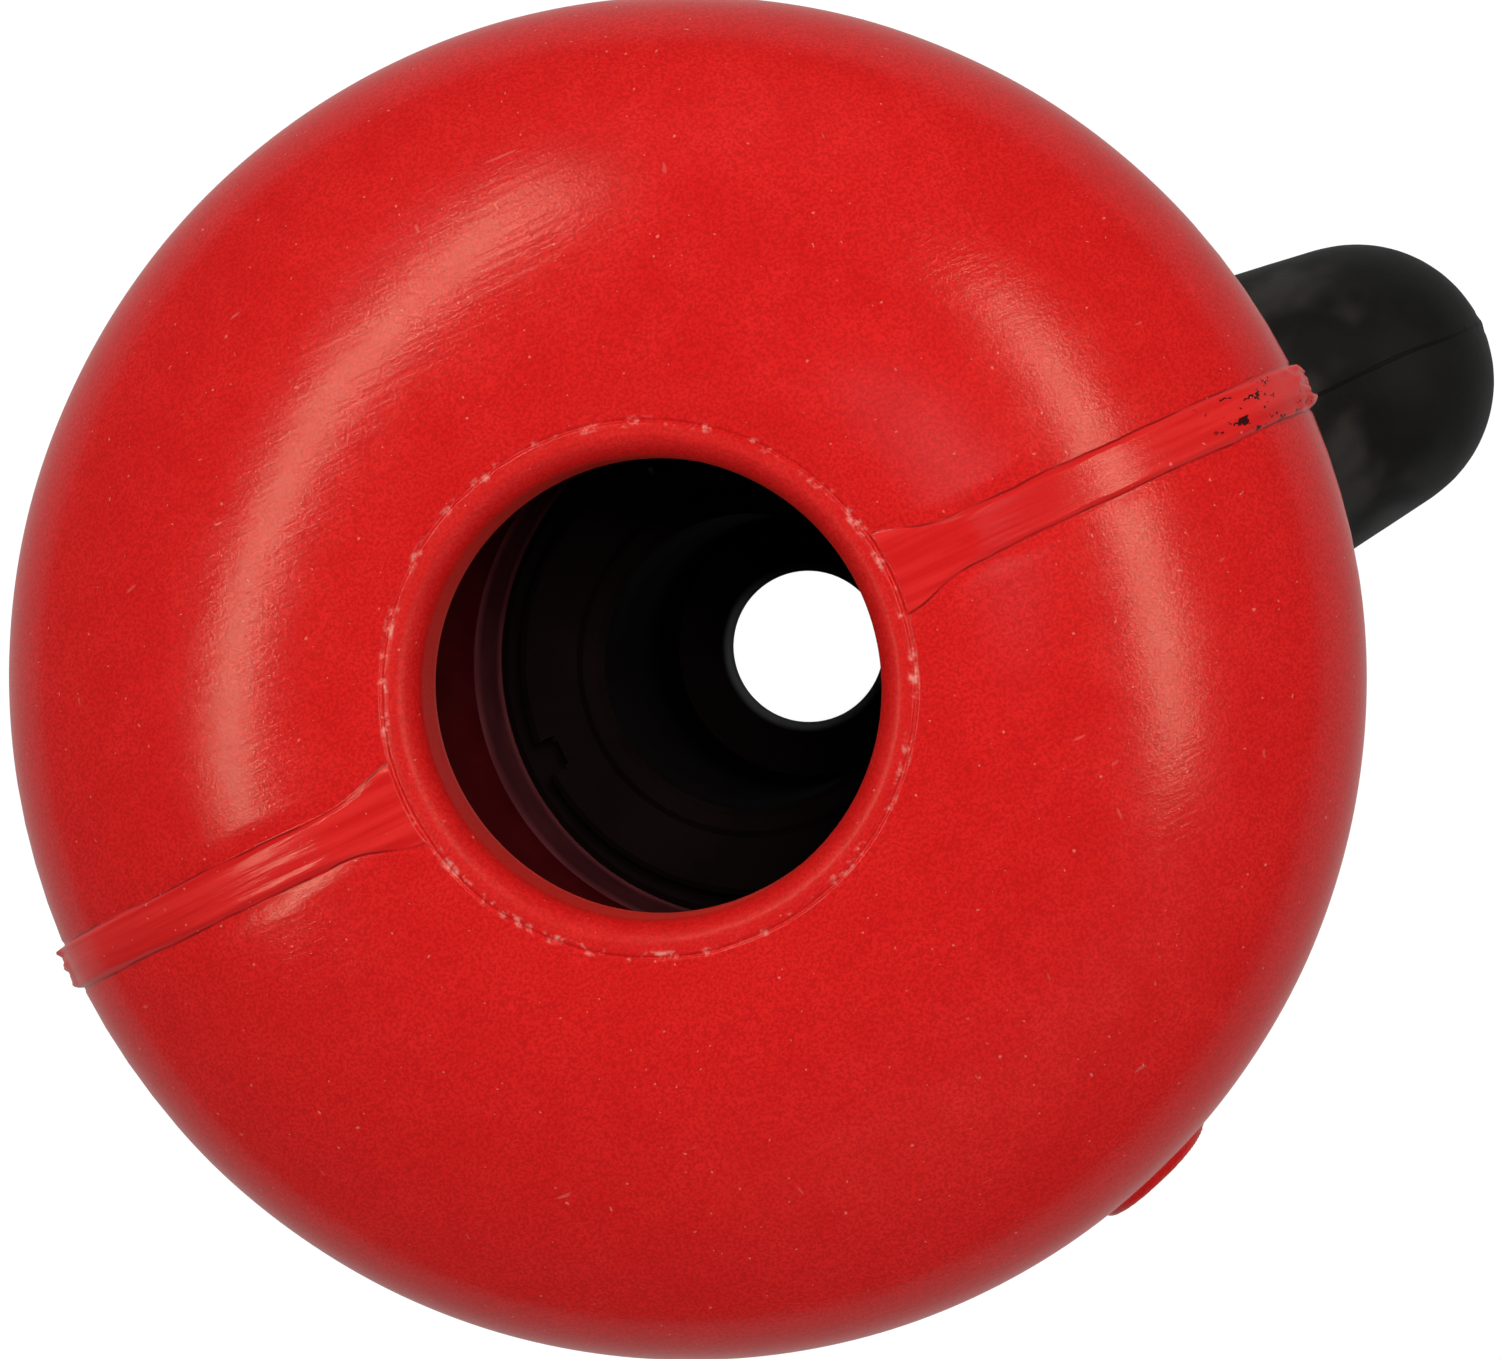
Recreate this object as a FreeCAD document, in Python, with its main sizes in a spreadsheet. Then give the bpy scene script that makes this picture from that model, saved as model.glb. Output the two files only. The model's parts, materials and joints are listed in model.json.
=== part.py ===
"""Bearing diabolo: two hollow rubber cups on one hollow axle, with a two-armed hand grip at the waist.

The object stands upright on its rear cup. The axle is the Z axis, the grip's arms lie along X and the
origin is at the centre of the rear cup's mouth face. Heights along the axle are worked out from the
waist, halfway up, because everything either side of it is made in pairs. All sizes are millimetres.
"""
import FreeCAD, Part
import math
import os
import Sketcher

DRIVING_SIZES = {
    "waist": (85.0, "mouth face to the middle of the waist: half the whole height"),
    "cup_rad": (50.0, "cup at its widest"),
    "widest_depth": (18.3, "from the mouth face back to the widest plane"),
    "rest_rad": (20.5, "outer edge of the flat ring round the mouth"),
    "lip_rad": (18.5, "top of the rounded lip, inner edge of the flat ring"),
    "lip_round": (2.5, "rounding of the lip, from the flat ring into the throat"),
    "throat_len": (4.0, "straight part of the throat"),
    "throat_flare": (0.8, "chamfer behind the throat"),
    "bead_thick": (3.0, "turned-in bead round the throat, inside the cup"),
    "shoulder_round": (13.0, "small radius of the cup's shoulder"),
    "back_round": (45.0, "large radius of the cup's back"),
    "wall": (5.5, "rubber wall of the cup"),
    "neck_rad": (26.6, "outside of the cup's neck"),
    "neck_len": (4.0, "straight part of the neck"),
    "pocket_rad": (22.6, "pocket inside the neck that takes the clamp plate"),
    "neck_base": (15.4, "waist centre to the neck's end face"),
    "floor_thick": (3.1, "rubber floor that is clamped between flange and plate"),
    "floor_hole": (15.3, "hole in the rubber floor for the axle"),
    "seam_width": (3.5, "moulding seam on each cup"),
    "seam_proud": (0.35, "height of the seam above the cup"),
    "seam_foot": (42.0, "waist centre to the seam's lower end"),
    "seam_end_rad": (22.5, "axle to the seam's end beside the mouth"),
    "seam_root": (1.0, "depth of the seam inside the rubber"),
    "pad_proud": (1.0, "height of the blank pad on the front cup"),
    "pad_spread": (11.2, "degrees of the cup that the pad goes round"),
    "pad_bearing": (-71.9, "degrees from +X round to the pad's middle"),
    "pad_top": (66.0, "waist centre to the pad's front edge"),
    "pad_foot": (54.0, "waist centre to the pad's back edge"),
    "axle_rad": (15.0, "outside of the axle tube, and bore of the bearings"),
    "axle_bore": (12.6, "bore of the axle tube"),
    "axle_tip": (25.5, "waist centre to the axle's threaded end"),
    "axle_chamfer": (0.6, "chamfers at the axle's threaded end"),
    "head_rad": (20.0, "axle head"),
    "head_thick": (2.5, "axle head and the lip inside it"),
    "head_hole": (7.4, "hole through the axle head"),
    "edge_round": (1.0, "rounding of the hole's edges"),
    "plate_rad": (22.4, "clamp plate"),
    "plate_thick": (2.0, "clamp plate"),
    "flange_rad": (26.0, "neck flange"),
    "flange_base": (13.6, "waist centre to the neck flange's disc"),
    "boss_rad": (17.0, "boss that bears on the inner race, inner spacer and inner race land"),
    "washer_rad": (19.0, "lock washer"),
    "washer_thick": (0.8, "lock washer"),
    "washer_slot": (2.2, "slots between the lock washer's tabs"),
    "washer_slot_root": (17.4, "bottom of the lock washer's slots"),
    "washer_slots": (8.0, "slots in the lock washer"),
    "nut_rad": (20.0, "ring nut"),
    "nut_slot": (3.0, "spanner slots of the ring nut"),
    "nut_slot_root": (18.0, "bottom of the ring nut's slots"),
    "nut_slots": (4.0, "spanner slots in the ring nut"),
    "bearing_base": (4.5, "waist centre to each bearing's near face"),
    "bearing_width": (7.0, "bearing width"),
    "bearing_out": (21.0, "bearing outside"),
    "outer_land": (19.0, "bore of the outer race"),
    "pitch_rad": (18.0, "circle of the ball centres"),
    "ball_rad": (1.75, "balls"),
    "groove_rad": (1.82, "ball grooves"),
    "ball_count": (20.0, "balls in each bearing"),
    "cage_half_width": (2.3, "half the cage's width"),
    "cage_half_thick": (0.65, "half the cage's thickness"),
    "cage_pocket": (1.85, "ball pockets of the cage"),
    "shield_thick": (0.25, "bearing shields"),
    "shield_inset": (0.15, "how far the shields sit in from the race's faces"),
    "shield_bore": (17.15, "bore of the shields"),
    "ring_thick": (1.0, "retaining rings"),
    "ring_bore": (19.4, "bore of the retaining rings"),
    "ring_groove": (22.0, "bottom of the retaining ring's groove in the grip"),
    "ring_gap": (5.0, "opening of the retaining ring"),
    "core_rad": (24.0, "outside of the grip core's ring"),
    "core_half": (12.9, "half the grip core's height"),
    "spigot_rad": (5.5, "spigots inside the arms"),
    "spigot_tip": (58.0, "axle to the end of a spigot"),
    "hub_rad": (27.2, "outside of the rubber over the hub"),
    "arm_rad": (12.6, "rounded end of an arm, and half its thickness"),
    "arm_tip": (70.2, "axle to the end of an arm"),
    "arm_root_rad": (20.3, "half the width that an arm would have at the axle"),
}

doc = FreeCAD.newDocument("Diabolo")


def fill_sheet():
    """Write every driving size into the sheet, with its name and what it measures."""
    table = doc.addObject("Spreadsheet::Sheet", "sizes")
    for row, (name, (value, meaning)) in enumerate(DRIVING_SIZES.items(), start=1):
        table.set(f"A{row}", str(value))
        table.setAlias(f"A{row}", name)
        table.set(f"B{row}", meaning)
    return table


fill_sheet()
doc.recompute()


class Size:
    """A size as both its present value and the sheet expression that gives it."""

    def __init__(self, value, text):
        self.value = float(value)
        self.text = text

    def _join(self, other, sign, value):
        return Size(value, f"({self.text} {sign} {other.text})")

    def __add__(self, other):
        other = as_size(other)
        return self._join(other, "+", self.value + other.value)

    def __sub__(self, other):
        other = as_size(other)
        return self._join(other, "-", self.value - other.value)

    def __mul__(self, other):
        other = as_size(other)
        return self._join(other, "*", self.value * other.value)

    def __truediv__(self, other):
        other = as_size(other)
        return self._join(other, "/", self.value / other.value)

    def root(self):
        return Size(math.sqrt(self.value), f"sqrt({self.text})")


def as_size(number):
    return number if isinstance(number, Size) else Size(number, repr(float(number)))


def size(name):
    return Size(DRIVING_SIZES[name][0], f"sizes.{name}")


def level(side, height):
    """Height above the rear mouth face of a point so far from the waist, in front (+1) or behind (-1)."""
    return size("waist") + as_size(height) * side


# ---- Sketches and turned bodies -------------------------------------------------------------------

def origin_part(body, role):
    return next(item for item in body.Origin.OriginFeatures if item.Role == role)


def new_sketch(body, name, plane):
    sketch = body.newObject("Sketcher::SketchObject", name)
    sketch.AttachmentSupport = [(origin_part(body, plane), "")]
    sketch.MapMode = "FlatFace"
    return sketch


def bind(sketch, kind, geometry, point, amount):
    """Add one dimension to a sketch and tie it to the sheet."""
    if kind == "Radius":
        index = sketch.addConstraint(Sketcher.Constraint(kind, geometry, amount.value))
    else:
        index = sketch.addConstraint(Sketcher.Constraint(kind, geometry, point, amount.value))
    sketch.setExpression(f"Constraints[{index}]", amount.text)


def arc_between(start, end, radius):
    """Shorter arc from start to end, turning left for a radius above zero and right for one below."""
    chord = end - start
    middle = (start + end) * 0.5
    turn = math.copysign(1.0, radius)
    normal = FreeCAD.Vector(-chord.y, chord.x, 0).normalize() * turn
    centre = middle + normal * math.sqrt(max(radius * radius - chord.Length ** 2 / 4, 0.0))
    first, last = (start, end) if turn > 0 else (end, start)
    circle = Part.Circle(centre, FreeCAD.Vector(0, 0, 1), abs(radius))
    first_angle = math.atan2(first.y - centre.y, first.x - centre.x)
    last_angle = math.atan2(last.y - centre.y, last.x - centre.x)
    return Part.ArcOfCircle(circle, first_angle, last_angle)


def draw_outline(sketch, corners):
    """Closed outline through (across, up) corners; a third item is the radius of the arc that arrives."""
    points = [FreeCAD.Vector(corner[0].value, corner[1].value, 0) for corner in corners]
    ends = []
    for number, corner in enumerate(corners):
        start, end = points[number - 1], points[number]
        if len(corner) == 3:
            side, radius = corner[2]
            index = sketch.addGeometry(arc_between(start, end, side * radius.value), False)
            bind(sketch, "Radius", index, None, radius)
            ends.append((index, 1, 2) if side > 0 else (index, 2, 1))
        else:
            index = sketch.addGeometry(Part.LineSegment(start, end), False)
            ends.append((index, 1, 2))
    for number, (index, _, last) in enumerate(ends):
        following, first, _ = ends[(number + 1) % len(ends)]
        sketch.addConstraint(Sketcher.Constraint("Coincident", index, last, following, first))
        bind(sketch, "DistanceX", index, last, corners[number][0])
        bind(sketch, "DistanceY", index, last, corners[number][1])


def turn_outline(body, name, corners):
    """Turn an outline of (radius, height) corners about the axle."""
    sketch = new_sketch(body, name + "_outline", "XZ_Plane")
    draw_outline(sketch, corners)
    turned = body.newObject("PartDesign::Revolution", name)
    turned.Profile = sketch
    turned.ReferenceAxis = (sketch, ["V_Axis"])
    turned.Angle = 360
    return turned


def new_body(label):
    body = doc.addObject("PartDesign::Body", label)
    body.Label = label
    return body


def turned_body(label, corners):
    body = new_body(label)
    turn_outline(body, label + "_turned", corners)
    return body


def ring_corners(inner, outer, low, high):
    return [(inner, low), (outer, low), (outer, high), (inner, high)]


def notch_rim(body, label, root, width, low, height):
    """Cut equal slots into a ring's rim with one pocket and a polar pattern."""
    sketch = new_sketch(body, label + "_slot_outline", "XY_Plane")
    beyond = root * 2
    half = width * 0.5
    draw_outline(sketch, [(root, half * -1), (beyond, half * -1), (beyond, half), (root, half)])
    sketch.setExpression(".AttachmentOffset.Base.z", low.text)
    pocket = body.newObject("PartDesign::Pocket", label + "_slot")
    pocket.Profile = sketch
    pocket.setExpression("Length", height.text)
    pocket.Reversed = True
    pattern = body.newObject("PartDesign::PolarPattern", label + "_slots")
    pattern.Originals = [pocket]
    pattern.Axis = (origin_part(body, "Z_Axis"), [""])
    pattern.Angle = 360
    pattern.Occurrences = int(size(label + "_slots").value)
    body.Tip = pattern


# ---- Cups: one-piece moulded rubber bulbs with turned-in mouths -----------------------------------

def face_round():
    """Large radius of the front face, tangent to both the mouth plane and the shoulder."""
    across = size("cup_rad") - size("rest_rad")
    deep = size("widest_depth")
    shoulder = size("shoulder_round")
    return (across * across + deep * deep - across * shoulder * 2) / ((deep - shoulder) * 2)


def shoulder_point(side, inset):
    """Where the face and shoulder arcs meet, the given distance inside the cup's outer skin."""
    big, small = face_round(), size("shoulder_round")
    across = (size("cup_rad") - small - size("rest_rad")) / (big - small)
    along = (big - size("widest_depth")) / (big - small)
    radius = size("rest_rad") + across * (big - inset)
    height = size("waist") - big + along * (big - inset)
    return radius, level(side, height)


def cup_outline(side):
    """Half section of a cup, from the neck's end face out, round the mouth and back inside."""
    waist, cup_rad = size("waist"), size("cup_rad")
    widest = waist - size("widest_depth")
    back, wall, neck_rad = size("back_round"), size("wall"), size("neck_rad")
    neck_top = size("neck_base") + size("neck_len")
    swell = cup_rad - neck_rad
    rise = widest - neck_top
    two_rounds = (swell * swell + rise * rise) / (swell * 2)
    neck_round = two_rounds - back
    share = back / two_rounds
    bend_rad = cup_rad - back + (two_rounds - swell) * share
    bend_height = widest - rise * share
    throat = size("lip_rad") - size("lip_round")
    throat_top = waist - size("lip_round")
    throat_foot = throat_top - size("throat_len")
    bead_foot = throat_foot - size("throat_flare")
    ceiling = waist - wall
    floor_top = size("neck_base") + size("floor_thick")
    inner_back = back - wall
    pocket_reach = size("pocket_rad") - (cup_rad - back)
    pocket_top = widest - (inner_back * inner_back - pocket_reach * pocket_reach).root()
    left, right = side, -side
    outer_meet = shoulder_point(side, as_size(0))
    inner_meet = shoulder_point(side, wall)
    return [
        (size("floor_hole"), level(side, size("neck_base"))),
        (neck_rad, level(side, size("neck_base"))),
        (neck_rad, level(side, neck_top)),
        (bend_rad, level(side, bend_height), (right, neck_round)),
        (cup_rad, level(side, widest), (left, back)),
        (*outer_meet, (left, size("shoulder_round"))),
        (size("rest_rad"), level(side, waist), (left, face_round())),
        (size("lip_rad"), level(side, waist)),
        (throat, level(side, throat_top), (left, size("lip_round"))),
        (throat, level(side, throat_foot)),
        (throat + size("throat_flare"), level(side, bead_foot)),
        (throat + size("bead_thick"), level(side, bead_foot)),
        (throat + size("bead_thick"), level(side, ceiling)),
        (size("rest_rad"), level(side, ceiling)),
        (*inner_meet, (right, face_round() - wall)),
        (cup_rad - wall, level(side, widest), (right, size("shoulder_round") - wall)),
        (size("pocket_rad"), level(side, pocket_top), (right, inner_back)),
        (size("pocket_rad"), level(side, floor_top)),
        (size("floor_hole"), level(side, floor_top)),
    ]


def skin_radius(height, extra):
    """Radius of the cup's back at a height above the waist, the given distance outside its skin."""
    reach = size("back_round") + extra
    drop = size("waist") - size("widest_depth") - height
    return size("cup_rad") - size("back_round") + (reach * reach - drop * drop).root()


def seam_outline(side):
    """Band that follows the cup's outer skin, from low on its back to the edge of the flat ring."""
    cup_rad, shoulder, face = size("cup_rad"), size("shoulder_round"), face_round()
    widest = level(side, size("waist") - size("widest_depth"))
    back, proud = size("back_round"), size("seam_proud")
    inside = as_size(0) - size("seam_root")
    foot, mouth_end = size("seam_foot"), size("seam_end_rad")
    start = mouth_end - size("rest_rad")

    def face_height(extra):
        reach = face + extra
        return level(side, size("waist") - face + (reach * reach - start * start).root())

    left, right = side, -side
    return [
        (skin_radius(foot, inside), level(side, foot), (right, back + inside)),
        (skin_radius(foot, proud), level(side, foot)),
        (cup_rad + proud, widest, (left, back + proud)),
        (*shoulder_point(side, as_size(0) - proud), (left, shoulder + proud)),
        (mouth_end, face_height(as_size(0)), (left, face + proud)),
        (mouth_end, face_height(inside)),
        (*shoulder_point(side, size("seam_root")), (right, face + inside)),
        (cup_rad + inside, widest, (right, shoulder + inside)),
    ]


def add_seam(body, label, side):
    """Both halves of the moulding seam: one straight band, repeated on the far side of the cup."""
    sketch = new_sketch(body, label + "_seam_outline", "XZ_Plane")
    draw_outline(sketch, seam_outline(side))
    band = body.newObject("PartDesign::Pad", label + "_seam")
    band.Profile = sketch
    band.SideType = "Symmetric"
    band.setExpression("Length", "sizes.seam_width")
    pair = body.newObject("PartDesign::PolarPattern", label + "_seams")
    pair.Originals = [band]
    pair.Axis = (origin_part(body, "Z_Axis"), [""])
    pair.Angle = 360
    pair.Occurrences = 2
    body.Tip = pair


def add_label_pad(body):
    """Blank raised pad on the front cup's flank, a short turn of a band that follows the skin."""
    foot, top = size("pad_foot"), size("pad_top")
    inside, proud = as_size(0) - size("seam_root"), size("pad_proud")
    back = size("back_round")
    sketch = new_sketch(body, "pad_outline", "XZ_Plane")
    draw_outline(sketch, [
        (skin_radius(foot, inside), level(1, foot), (-1, back + inside)),
        (skin_radius(foot, proud), level(1, foot)),
        (skin_radius(top, proud), level(1, top), (1, back + proud)),
        (skin_radius(top, inside), level(1, top)),
    ])
    turn = FreeCAD.Rotation(FreeCAD.Vector(0, 1, 0), DRIVING_SIZES["pad_bearing"][0])
    sketch.AttachmentOffset = FreeCAD.Placement(FreeCAD.Vector(0, 0, 0), turn)
    sketch.setExpression(".AttachmentOffset.Rotation.Angle", "sizes.pad_bearing")
    band = body.newObject("PartDesign::Revolution", "label_pad")
    band.Profile = sketch
    band.ReferenceAxis = (sketch, ["V_Axis"])
    band.Midplane = True
    band.setExpression("Angle", "sizes.pad_spread")
    body.Tip = band


def make_cup(label, side):
    body = turned_body(label, cup_outline(side))
    add_seam(body, label, side)
    if side > 0:
        add_label_pad(body)
    return body


# ---- Axle: one turned tube with a head, and the pieces that it clamps together -------------------

def make_axle():
    """Aluminium tube; its head at the rear has a lip inside, with a rounded hole."""
    seat = size("neck_base") + size("floor_thick") + size("plate_thick")
    head_end = seat + size("head_thick")
    hole, rounding, chamfer = size("head_hole"), size("edge_round"), size("axle_chamfer")
    tube, bore, tip = size("axle_rad"), size("axle_bore"), size("axle_tip")
    return turned_body("hollow_axle", [
        (hole + rounding, level(-1, head_end), (1, rounding)),
        (size("head_rad") - chamfer, level(-1, head_end)),
        (size("head_rad"), level(-1, head_end - chamfer)),
        (size("head_rad"), level(-1, seat)),
        (tube, level(-1, seat)),
        (tube, level(1, tip - chamfer)),
        (tube - chamfer, level(1, tip)),
        (bore + chamfer, level(1, tip)),
        (bore, level(1, tip - chamfer)),
        (bore, level(-1, seat)),
        (hole + rounding, level(-1, seat)),
        (hole, level(-1, seat + rounding), (1, rounding)),
        (hole, level(-1, head_end - rounding)),
    ])


def make_neck_flange(label, side):
    """Disc under the cup's neck, with a boss that bears on the inner race."""
    tube, boss, rim = size("axle_rad"), size("boss_rad"), size("flange_rad")
    race_face = size("bearing_base") + size("bearing_width")
    base, top = size("flange_base"), size("neck_base")
    return turned_body(label, [
        (tube, level(side, race_face)),
        (boss, level(side, race_face)),
        (boss, level(side, base)),
        (rim, level(side, base)),
        (rim, level(side, top)),
        (tube, level(side, top)),
    ])


def make_clamp_plate(label, side):
    """Plate inside the cup that presses the rubber floor onto the flange; its rim is bevelled."""
    foot = size("neck_base") + size("floor_thick")
    top = foot + size("plate_thick")
    bevel = size("axle_chamfer")
    rim = size("plate_rad")
    return turned_body(label, [
        (size("axle_rad"), level(side, foot)),
        (rim, level(side, foot)),
        (rim, level(side, top - bevel)),
        (rim - bevel, level(side, top)),
        (size("axle_rad"), level(side, top)),
    ])


def make_lock_washer():
    """Thin tabbed washer under the ring nut."""
    foot = size("neck_base") + size("floor_thick") + size("plate_thick")
    thick = size("washer_thick")
    corners = ring_corners(size("axle_rad"), size("washer_rad"), level(1, foot), level(1, foot + thick))
    body = turned_body("lock_washer", corners)
    notch_rim(body, "washer", size("washer_slot_root"), size("washer_slot"), level(1, foot), thick)
    return body


def make_ring_nut():
    """Round nut with spanner slots on the axle's threaded end; it clamps the whole stack."""
    foot = size("neck_base") + size("floor_thick") + size("plate_thick") + size("washer_thick")
    height = size("axle_tip") - foot - size("axle_chamfer")
    bevel = size("axle_chamfer")
    rim, tube = size("nut_rad"), size("axle_rad")
    body = turned_body("axle_ring_nut", [
        (tube, level(1, foot)),
        (rim, level(1, foot)),
        (rim, level(1, foot + height - bevel)),
        (rim - bevel, level(1, foot + height)),
        (tube, level(1, foot + height)),
    ])
    notch_rim(body, "nut", size("nut_slot_root"), size("nut_slot"), level(1, foot), height)
    return body


def make_inner_spacer():
    """Sleeve on the axle that keeps the two inner races apart."""
    half = size("bearing_base")
    return turned_body("inner_spacer", ring_corners(
        size("axle_rad"), size("boss_rad"), level(-1, half), level(1, half)))


# ---- Bearings: thin-section ball bearings, 30 x 42 x 7 --------------------------------------------

def bearing_centre(side):
    return level(side, size("bearing_base") + size("bearing_width") * 0.5)


def make_race(label, side, wall_rad, land_rad, turn):
    """Race with a ball groove; turn is +1 for the outer race and -1 for the inner one."""
    middle, half = bearing_centre(side), size("bearing_width") * 0.5
    groove, pitch = size("groove_rad"), size("pitch_rad")
    reach = (land_rad - pitch) * turn
    mouth = (groove * groove - reach * reach).root()
    return turned_body(label, [
        (land_rad, middle - half),
        (wall_rad, middle - half),
        (wall_rad, middle + half),
        (land_rad, middle + half),
        (land_rad, middle + mouth),
        (land_rad, middle - mouth, (-turn, groove)),
    ])


def make_balls(label, side):
    """All the balls of one bearing, as separate spheres in one group."""
    middle = bearing_centre(side).value
    pitch, radius = size("pitch_rad").value, size("ball_rad").value
    count = int(size("ball_count").value)
    balls = []
    for number in range(count):
        angle = 2 * math.pi * number / count
        centre = FreeCAD.Vector(pitch * math.cos(angle), pitch * math.sin(angle), middle)
        balls.append(Part.makeSphere(radius, centre))
    group = doc.addObject("Part::Feature", label)
    group.Label = label
    group.Shape = Part.makeCompound(balls)
    return group


def make_cage(label, side):
    """Ring that spaces the balls, with a round pocket for each of them."""
    middle = bearing_centre(side)
    half, thick, pitch = size("cage_half_width"), size("cage_half_thick"), size("pitch_rad")
    body = turned_body(label, ring_corners(pitch - thick, pitch + thick, middle - half, middle + half))
    sketch = new_sketch(body, label + "_pocket_outline", "XZ_Plane")
    circle = Part.Circle(FreeCAD.Vector(pitch.value, middle.value, 0), FreeCAD.Vector(0, 0, 1),
                         size("cage_pocket").value)
    index = sketch.addGeometry(Part.ArcOfCircle(circle, -math.pi / 2, math.pi / 2), False)
    bind(sketch, "Radius", index, None, size("cage_pocket"))
    bind(sketch, "DistanceX", index, 1, pitch)
    bind(sketch, "DistanceX", index, 2, pitch)
    bind(sketch, "DistanceX", index, 3, pitch)
    bind(sketch, "DistanceY", index, 3, middle)
    top = FreeCAD.Vector(pitch.value, middle.value + size("cage_pocket").value, 0)
    foot = FreeCAD.Vector(pitch.value, middle.value - size("cage_pocket").value, 0)
    chord = sketch.addGeometry(Part.LineSegment(top, foot), False)
    sketch.addConstraint(Sketcher.Constraint("Coincident", chord, 1, index, 2))
    sketch.addConstraint(Sketcher.Constraint("Coincident", chord, 2, index, 1))
    groove = body.newObject("PartDesign::Groove", label + "_pocket")
    groove.Profile = sketch
    groove.ReferenceAxis = (sketch, [f"Edge{chord + 1}"])
    groove.Angle = 360
    pattern = body.newObject("PartDesign::PolarPattern", label + "_pockets")
    pattern.Originals = [groove]
    pattern.Axis = (origin_part(body, "Z_Axis"), [""])
    pattern.Angle = 360
    pattern.Occurrences = int(size("ball_count").value)
    body.Tip = pattern
    return body


def make_shields(label, side):
    """The two thin shields pressed into one bearing's outer race, as a group."""
    middle = bearing_centre(side)
    face = size("bearing_width") * 0.5 - size("shield_inset")
    thick = size("shield_thick")
    rings = []
    for number, way in enumerate((1, -1)):
        low = middle + face * way if way < 0 else middle + face - thick
        for kind, radius in (("rim", size("outer_land")), ("hole", size("shield_bore"))):
            disc = doc.addObject("Part::Cylinder", f"{label}_{kind}_{number}")
            disc.setExpression("Radius", radius.text)
            disc.setExpression("Height", thick.text)
            disc.setExpression("Placement.Base.z", low.text)
        ring = doc.addObject("Part::Cut", f"{label}_ring_{number}")
        ring.Base = doc.getObject(f"{label}_rim_{number}")
        ring.Tool = doc.getObject(f"{label}_hole_{number}")
        rings.append(ring)
    pair = doc.addObject("Part::Compound", label)
    pair.Links = rings
    pair.Label = label
    return pair


# ---- Grip: rigid core with two spigots, rubber jacket moulded over it, and what holds the bearings -

def primitive(kind, name, sizes, base=(0, 0, 0), rotation=None):
    """Part primitive with its sizes and its place tied to the sheet."""
    item = doc.addObject(kind, name)
    if rotation:
        item.Placement = FreeCAD.Placement(FreeCAD.Vector(0, 0, 0), rotation)
    for key, amount in sizes.items():
        item.setExpression(key, as_size(amount).text)
    for key, amount in zip("xyz", base):
        item.setExpression(f"Placement.Base.{key}", as_size(amount).text)
    return item


def joined(name, items):
    union = doc.addObject("Part::MultiFuse", name)
    union.Shapes = items
    return union


def cut(name, base, tool):
    result = doc.addObject("Part::Cut", name)
    result.Base = base
    result.Tool = tool
    return result


TURN_TO_X = FreeCAD.Rotation(FreeCAD.Vector(0, 1, 0), 90)
TURN_TO_MINUS_X = FreeCAD.Rotation(FreeCAD.Vector(0, 1, 0), -90)


def ring_foot(side):
    """Lower face of the retaining ring that holds the bearing on that side."""
    near = size("bearing_base") + size("bearing_width")
    return level(side, near) if side > 0 else level(side, near + size("ring_thick"))


def core_blank(name):
    """Ring and spigots of the core before its bearing seat is bored; the jacket is cut with it too."""
    half, waist = size("core_half"), size("waist")
    ring = primitive("Part::Cylinder", name + "_ring", {"Radius": size("core_rad"), "Height": half * 2},
                     (0, 0, waist - half))
    bar = primitive("Part::Cylinder", name + "_bar",
                    {"Radius": size("spigot_rad"), "Height": size("spigot_tip") * 2},
                    (size("spigot_tip") * -1, 0, waist), TURN_TO_X)
    return joined(name, [ring, bar])


def make_core():
    """Machined core: bearing seat right through, with a groove near each end for a retaining ring."""
    waist, seat, half = size("waist"), size("bearing_out"), size("core_half")
    bore = primitive("Part::Cylinder", "core_bore", {"Radius": seat, "Height": half * 2},
                     (0, 0, waist - half))
    grooves = []
    for name, side in (("front", 1), ("rear", -1)):
        grooves.append(primitive("Part::Cylinder", f"core_{name}_groove",
                                 {"Radius": size("ring_groove"), "Height": size("ring_thick")},
                                 (0, 0, ring_foot(side))))
    core = cut("handle_core", core_blank("core_blank"), joined("core_hollow", [bore, *grooves]))
    core.Label = "handle_core"
    return core


def make_jacket():
    """One-piece rubber jacket: a sleeve round the hub and two flattened, round-ended arms."""
    waist, arm, tip = size("waist"), size("arm_rad"), size("arm_tip")
    reach = tip - arm
    pieces = [primitive("Part::Cylinder", "jacket_sleeve",
                        {"Radius": size("hub_rad"), "Height": arm * 2}, (0, 0, waist - arm))]
    for name, way, turn in (("right", 1, TURN_TO_X), ("left", -1, TURN_TO_MINUS_X)):
        pieces.append(primitive("Part::Cone", f"jacket_{name}_arm",
                                {"Radius1": size("arm_root_rad"), "Radius2": arm, "Height": reach},
                                (0, 0, waist), turn))
        pieces.append(primitive("Part::Sphere", f"jacket_{name}_end", {"Radius": arm},
                                (reach * way, 0, waist)))
    slab = primitive("Part::Box", "jacket_slab",
                     {"Length": tip * 2 + 2, "Width": size("hub_rad") * 3, "Height": arm * 2},
                     (tip * -1 - 1, size("hub_rad") * -1.5, waist - arm))
    flat = doc.addObject("Part::Common", "jacket_flattened")
    flat.Base = joined("jacket_round", pieces)
    flat.Tool = slab
    jacket = cut("handle_jacket", flat, core_blank("jacket_hollow"))
    jacket.Label = "handle_jacket"
    return jacket


def make_outer_spacer():
    """Sleeve inside the core that keeps the two outer races apart."""
    half = size("bearing_base")
    return turned_body("outer_spacer", ring_corners(
        size("outer_land"), size("bearing_out"), level(-1, half), level(1, half)))


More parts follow.
